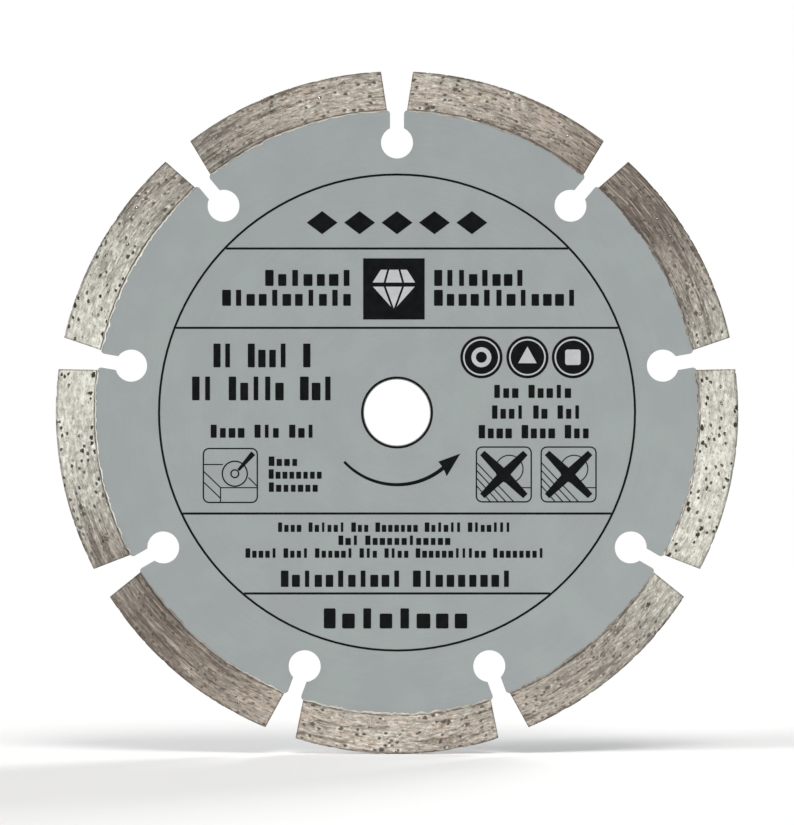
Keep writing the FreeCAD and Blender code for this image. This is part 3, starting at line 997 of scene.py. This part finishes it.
def print_rules(ink):
    """The big circle, the four rules across it and the ring round the bore."""
    shapes = Ink()
    shapes.ring((0, 0), PRINT_RADIUS, RULE_WIDTH)
    for height in RULE_HEIGHTS:
        half = math.sqrt((PRINT_RADIUS - RULE_WIDTH / 2) ** 2 - height**2)
        shapes.box(-half, half, height - RULE_WIDTH / 2, height + RULE_WIDTH / 2)
    shapes.ring((0, 0), BORE_RADIUS / MM + BORE_RING_GAP + BORE_RING_WIDTH / 2, BORE_RING_WIDTH)
    shapes.finish("print_rules", ink)


RHOMBS = 5
RHOMB_PITCH = 12.6
RHOMB_HEIGHT = 63.9
RHOMB = ((-5.2, 0), (0, -3.9), (5.2, 0), (0, 3.9))
EMBLEM_SQUARE = (-11.4, 9.3, 31.3, 51.9)


def print_emblem(ink, grey):
    """A plain row of rhombs above, and a dark square with a cut stone on it."""
    shapes = Ink()
    for step in range(RHOMBS):
        x = (step - (RHOMBS - 1) / 2) * RHOMB_PITCH
        shapes.plate([moved((x, RHOMB_HEIGHT), corner) for corner in RHOMB])
    shapes.box(*EMBLEM_SQUARE)
    shapes.finish("print_emblem", ink)
    print_stone(grey)


# the cut stone: its middle, its heights, the parting between facets, and where their corners lie
# along the girdle and along the table
STONE_MIDDLE = -1.05
STONE_TABLE = 48.4
STONE_GIRDLE = 43.4
STONE_POINT = 34.0
STONE_PARTING = 0.7
GIRDLE_CORNERS = (-7.8, -3.2, 3.2, 7.8)
TABLE_CORNERS = (-4.6, -1.8, 1.8, 4.6)


def print_stone(grey):
    """A cut stone seen from the side: three facets above its girdle and three below."""
    shapes = Ink(layer=1)
    below = STONE_GIRDLE - STONE_PARTING
    spans = zip(GIRDLE_CORNERS, GIRDLE_CORNERS[1:], TABLE_CORNERS, TABLE_CORNERS[1:])
    for left, right, table_left, table_right in spans:
        girdle = [(left, STONE_GIRDLE), (right, STONE_GIRDLE)]
        upper = girdle + [(table_right, STONE_TABLE), (table_left, STONE_TABLE)]
        lower = [(0, STONE_POINT), (right, below), (left, below)]
        for facet in (upper, lower):
            outline = shrunk(facet, STONE_PARTING / 2)
            shapes.plate([moved(corner, (STONE_MIDDLE, 0)) for corner in outline])
    shapes.finish("print_stone", grey)


def shrunk(outline, amount):
    """An anticlockwise convex outline moved inward by the amount on every side."""
    count = len(outline)
    result = []
    for k in range(count):
        here = Vector(outline[k])
        before = (here - Vector(outline[k - 1])).normalized()
        after = (Vector(outline[(k + 1) % count]) - here).normalized()
        inward = Vector((-before.y - after.y, before.x + after.x)).normalized()
        result.append(tuple(here + inward * amount / inward.dot(Vector((-after.y, after.x)))))
    return result


# Rows of plain marks where a blade carries wording: left, right, low and high edge of the row,
# then how many marks each group has. The marks are blocks and spell nothing.
MARK_ROWS = (
    (-44.9, -14.6, 42.6, 48.0, (7,)),
    (-59.2, -14.6, 35.9, 41.3, (11,)),
    (12.1, 43.5, 42.6, 48.0, (8,)),
    (12.1, 61.0, 35.9, 41.3, (12,)),
    (-63.1, -27.4, -8.5, -4.1, (4, 3, 3)),
    (-43.4, -33.0, -18.0, -14.8, (4,)),
    (-43.4, -24.9, -22.3, -19.1, (8,)),
    (-43.4, -26.2, -26.7, -23.5, (7,)),
    (32.3, 59.2, 4.9, 9.3, (3, 5)),
    (31.6, 62.2, -2.1, 2.4, (4, 2, 3)),
    (27.2, 65.2, -8.7, -4.2, (4, 4, 3)),
    (-40.3, 38.5, -40.2, -37.0, (4, 6, 3, 7, 6, 7)),
    (-20.0, 18.4, -44.6, -41.4, (3, 12)),
    (-51.2, 49.7, -48.9, -45.7, (5, 4, 6, 3, 4, 11, 8)),
    (-39.5, 38.9, -58.7, -53.2, (11, 9)),
    (-25.5, 25.0, -72.7, -65.9, (8,)),
    (-62.2, -28.4, 15.2, 23.2, (2, 4, 1)),
    (-69.5, -21.1, 4.1, 12.1, (2, 5, 3)),
)
MARK_SEED = 17

# the space between groups and a low mark's height, in row heights; how much of its cell a mark and
# a stem fill, where they stand in it, the share of stems, then how round and how varied they are
GROUP_SPACE = 0.55
LOW_MARK = 0.74
MARK_FILL = 0.68
STEM_FILL = 0.42
MARK_PLACE = 0.45
STEM_SHARE = 0.3
MARK_CORNER = 0.12
WIDTH_SPREAD = (0.9, 1.1)


def print_marks(ink):
    """Every row of blocks."""
    shapes = Ink()
    chance = np.random.RandomState(MARK_SEED)
    for row in MARK_ROWS:
        mark_row(shapes, chance, *row)
    shapes.finish("print_marks", ink)


def mark_row(shapes, chance, left, right, low, high, groups):
    """A row of blocks in groups: each starts tall, and narrow tall stems stand among the rest."""
    height = high - low
    space = GROUP_SPACE * height
    cell = (right - left - space * (len(groups) - 1)) / sum(groups)
    for group in groups:
        for place in range(group):
            stem = place > 0 and chance.uniform() < STEM_SHARE
            top = high if stem or place == 0 else low + LOW_MARK * height
            width = cell * (STEM_FILL if stem else MARK_FILL) * chance.uniform(*WIDTH_SPREAD)
            start = left + (place + MARK_PLACE) * cell - width / 2
            shapes.box(start, start + width, low, top, MARK_CORNER * min(width, height))
        left += group * cell + space


# the three dark discs and the light marks in them
DISC_PLACES = (28.4, 43.9, 59.2)
DISC_HEIGHT = 18.6
DISC_RADIUS = 7.1
DISC_RING = (5.9, 0.5)
INNER_RING = (2.6, 1.5)
TRIANGLE = ((-3.1, -2.0), (3.1, -2.0), (0.0, 3.6))
SQUARE = (-2.6, 2.6, DISC_HEIGHT - 2.6, DISC_HEIGHT + 2.6, 0.8)

# line widths of the boxed signs, and how round their corners are
FRAME_LINE = 0.45
FINE_LINE = 0.36
SIGN_CORNER = 2.1

# the two crossed boxes: where they stand and their size; from a box's lower left corner its lines
# and its round part; the cross's reach and its widths in the middle and at the ends
CROSSED_PLACES = ((26.5, -30.3), (48.3, -30.3))
CROSSED_SIZE = 18.9
CROSSED_LINES = (
    ((0.4, 13.3), (12.6, 0.4)),
    ((0.4, 10.7), (10.0, 0.4)),
    ((0.4, 8.1), (7.4, 0.4)),
    ((0.4, 5.5), (4.8, 0.4)),
    ((12.0, 5.0), (18.5, 5.0)),
)
CROSSED_RING = ((11.3, 11.3), 4.6, FINE_LINE)
CROSS_REACH = 10.25
CROSS_WIDTHS = (3.2, 2.1)

# the work sign, in the same way: a block drawn aslant, a cutting disc in its top and its handle
WORK_PLACE = (-65.4, -30.5)
WORK_SIZE = 18.6
WORK_LINES = (
    ((6.0, 5.2), (18.2, 5.2)),
    ((6.0, 0.4), (6.0, 5.2)),
    ((0.4, 10.6), (6.0, 5.2)),
    ((0.4, 7.0), (6.0, 1.6)),
    ((0.4, 13.0), (6.8, 13.0)),
    ((15.4, 8.6), (18.2, 5.8)),
)
WORK_RINGS = (((10.8, 9.9), 4.2, FRAME_LINE), ((10.8, 9.9), 1.3, FRAME_LINE))
HANDLE = ((12.0, 11.1), (17.0, 16.8))
HANDLE_WIDTHS = (0.9, 1.8)


def print_signs(ink, grey):
    """Plain signs: three dark discs, two crossed boxes and a box with a disc cutting a block."""
    shapes, marks = Ink(), Ink(layer=1)
    for x in DISC_PLACES:
        shapes.plate(round_points((x, DISC_HEIGHT), DISC_RADIUS))
        marks.ring((x, DISC_HEIGHT), *DISC_RING)
    first, second, third = DISC_PLACES
    left, right, low, high, corner = SQUARE
    marks.ring((first, DISC_HEIGHT), *INNER_RING)
    marks.plate([(second + x, DISC_HEIGHT + z) for x, z in TRIANGLE])
    marks.box(third + left, third + right, low, high, corner)
    marks.finish("print_sign_marks", grey)

    for place in CROSSED_PLACES:
        print_boxed_sign(shapes, place, CROSSED_SIZE, CROSSED_LINES, [CROSSED_RING])
        middle = moved(place, (CROSSED_SIZE / 2, CROSSED_SIZE / 2))
        shapes.cross(middle, CROSS_REACH, *CROSS_WIDTHS)
    print_boxed_sign(shapes, WORK_PLACE, WORK_SIZE, WORK_LINES, WORK_RINGS)
    handle_start, handle_end = HANDLE
    shapes.line(moved(WORK_PLACE, handle_start), moved(WORK_PLACE, handle_end), *HANDLE_WIDTHS)
    shapes.finish("print_signs", ink)


def print_boxed_sign(shapes, place, size, lines, rings):
    """A box with round corners at a place, with fine lines and rings in it."""
    left, low = place
    shapes.frame_box(left, left + size, low, low + size, SIGN_CORNER, FRAME_LINE)
    for start, end in lines:
        shapes.line(moved(place, start), moved(place, end), FINE_LINE)
    for centre, radius, width in rings:
        shapes.ring(moved(place, centre), radius, width)


def moved(place, by):
    """A place moved by an amount."""
    return place[0] + by[0], place[1] + by[1]


# the arrow: its arc's radius, angles in degrees and widths, then the head's corners as how far they
# lie outside the arc and at which angle
ARROW_RADIUS = 24.3
ARROW_START = -137
ARROW_NECK = -48
ARROW_WIDTHS = (0.85, 1.3)
ARROW_HEAD = ((-2.7, -50), (0.0, -50.2), (2.9, -52), (1.1, -33))


def print_arrow(ink):
    """The arrow of rotation: an arc below the bore, widening to a solid head at its right."""
    shapes = Ink()
    shapes.arc((0, 0), ARROW_RADIUS, ARROW_START, ARROW_NECK, *ARROW_WIDTHS)
    shapes.plate([point_at((0, 0), ARROW_RADIUS + outside, angle) for outside, angle in ARROW_HEAD])
    shapes.finish("print_arrow", ink)


# ---- floor, light and camera

# the floor's size, and where it fades out: lengths in metres
FLOOR_REACH = 2.5
FADE_START = 0.7
FADE_END = 2.4
FLOOR_PALE = srgb(247, 247, 247)

WORLD_LIGHT = 0.32

# Lamps: name, direction they shine from, strength, how wide the source looks in degrees, colour.
LAMPS = (
    ("key", (-0.90, -0.38, 0.24), 2.6, 16.0, (1.0, 0.995, 0.985)),
    ("top", (0.12, -0.45, 0.88), 1.3, 26.0, (1.0, 0.985, 0.97)),
    ("back", (0.55, 0.72, 0.42), 1.6, 24.0, (0.98, 0.99, 1.0)),
)

# the picture's size, how much of it the blade fills, the lens and sensor in plain millimetres, and
# how far the camera sees in metres
PICTURE_WIDE = 794
PICTURE_TALL = 825
SHARE_OF_PICTURE = 0.86
LENS = 200
SENSOR = 36
FARTHEST_SEEN = 100


def make_floor():
    """A pale floor that fades out to the backdrop well away from the blade."""
    material, tree, shader = new_material("floor")
    place = object_place(tree)
    distance = add_node(tree, "VectorMath", {0: place}, operation="LENGTH").outputs["Value"]
    fade = ramp(tree, distance, FADE_START, FADE_END)
    clear = add_node(tree, "BsdfTransparent", {}).outputs[0]
    connect(tree, shader, {"Base Color": FLOOR_PALE, "Roughness": 0.9})
    mixed = add_node(tree, "MixShader", {0: fade, 1: shader.outputs[0], 2: clear})
    tree.links.new(mixed.outputs[0], tree.nodes["Material Output"].inputs["Surface"])

    mesh = bpy.data.meshes.new("floor")
    corners = [(x * FLOOR_REACH, y * FLOOR_REACH, 0) for x, y in ((-1, -1), (1, -1), (1, 1), (-1, 1))]
    mesh.from_pydata(corners, [], [(0, 1, 2, 3)])
    mesh.materials.append(material)
    floor = new_object("floor", mesh)
    floor.location.z = FLOOR_HEIGHT


def make_world():
    """White behind the object; a softer grey is what lights it and shows in its metal."""
    world = bpy.data.worlds.new("studio")
    bpy.context.scene.world = world
    world.use_nodes = True
    tree = world.node_tree
    background = tree.nodes["Background"]
    sees_camera = add_node(tree, "LightPath", {}).outputs["Is Camera Ray"]
    strength = calc(tree, "ADD", product(tree, sees_camera, 1.0 - WORLD_LIGHT), WORLD_LIGHT)
    connect(tree, background, {"Color": (1.0, 1.0, 1.0, 1.0), "Strength": strength})


def make_lights():
    """Three far, soft lamps, so that the flat core is lit evenly."""
    for name, direction, strength, width, colour in LAMPS:
        lamp = bpy.data.lights.new(name, "SUN")
        lamp.energy = strength
        lamp.angle = math.radians(width)
        lamp.color = colour
        holder = new_object(name, lamp)
        holder.rotation_euler = Vector(direction).to_track_quat("Z", "Y").to_euler()


def make_camera():
    """Square on to the printed side through a long lens, with the blade filling the frame."""
    camera = bpy.data.cameras.new("camera")
    camera.lens = LENS
    camera.sensor_width = SENSOR
    camera.clip_end = FARTHEST_SEEN
    visible = 2 * OUTER_RADIUS / SHARE_OF_PICTURE * PICTURE_TALL / PICTURE_WIDE
    holder = new_object("camera", camera)
    holder.location = (0, -visible * LENS / SENSOR, 0)
    holder.rotation_euler = (math.radians(90), 0, 0)
    bpy.context.scene.camera = holder


# ---- the scene


def main():
    """Materials, then the blade, then what stands round it."""
    bpy.context.scene.view_settings.view_transform = "Standard"
    dark_ink = ink_material("dark_ink", BLACK_INK)
    grey_ink = ink_material("grey_ink", GREY_INK)
    cad_materials = {
        "steel_core": lacquer_material(),
        "bond_layer_": bond_material(),
        "diamond_grit_": diamond_material(),
    }
    dress_cad_nodes(cad_materials)
    make_segments(matrix_material())
    print_rules(dark_ink)
    print_emblem(dark_ink, grey_ink)
    print_marks(dark_ink)
    print_signs(dark_ink, grey_ink)
    print_arrow(dark_ink)
    make_floor()
    make_world()
    make_lights()
    make_camera()


main()
